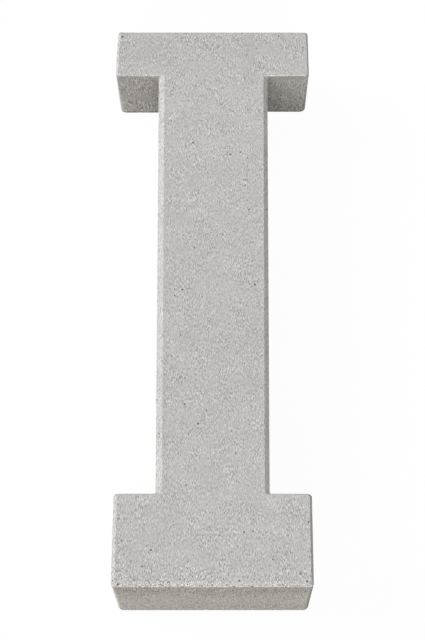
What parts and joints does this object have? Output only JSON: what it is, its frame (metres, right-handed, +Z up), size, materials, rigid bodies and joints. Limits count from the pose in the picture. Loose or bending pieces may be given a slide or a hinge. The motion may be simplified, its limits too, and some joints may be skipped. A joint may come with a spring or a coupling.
{
  "type": "concrete grass paver",
  "caption": "I-shaped cast concrete grass paver: a long head and a short head joined by a straight web, with an open planting bay on each side.",
  "frame": {"origin": "centre of the underside's bounding rectangle, on the bedding plane", "axes": "+X across the heads, +Y along the block from the long head to the short head, +Z up"},
  "size_m": [0.2, 0.6, 0.1],
  "materials": {
    "concrete": "matte"
  },
  "bodies": {
    "root": {"paver": "concrete"}
  },
  "joints": []
}
